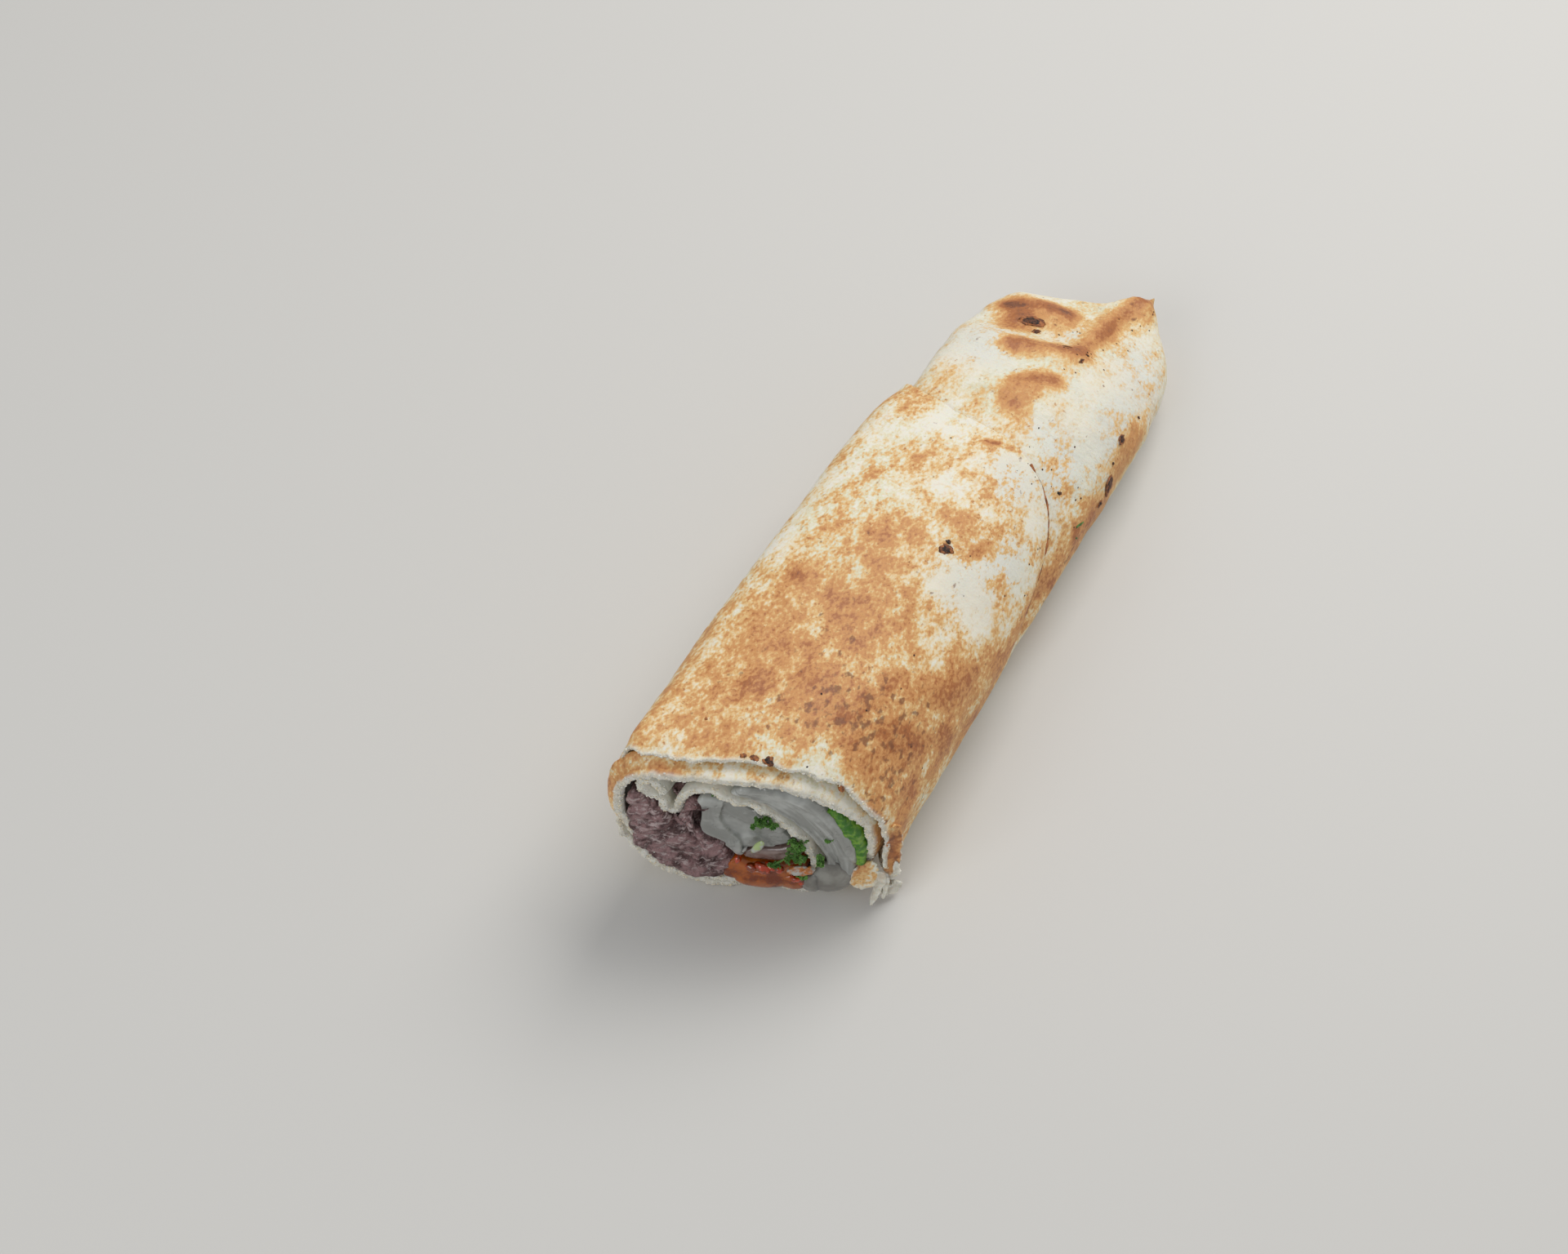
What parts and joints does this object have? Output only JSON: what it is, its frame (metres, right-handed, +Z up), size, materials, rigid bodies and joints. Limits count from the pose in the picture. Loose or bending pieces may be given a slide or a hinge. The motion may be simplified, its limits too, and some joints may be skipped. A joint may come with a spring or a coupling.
{
  "type": "tikka sandwich",
  "caption": "Cut half of a rolled flatbread sandwich with cooked tikka meat, onion, tomato and leaf, resting on its side.",
  "frame": {"origin": "under the middle of the whole, on the surface that it rests on", "axes": "+Z up; +Y along the roll, from the slanting cut towards the folded tip; +X to the right, seen from the cut"},
  "size_m": [0.0466, 0.1594, 0.0396],
  "materials": {
    "flatbread": "matte",
    "meat": "satin",
    "onion": "satin",
    "red_onion": "satin",
    "tomato": "gloss",
    "leaf": "satin"
  },
  "bodies": {
    "root": {"flatbread": "flatbread", "tikka_meat": "meat", "onion_chunk": "onion", "onion_sliver": "red_onion", "tomato_slab": "tomato", "onion_strip": "onion", "leaf_strip": "leaf"}
  },
  "joints": []
}
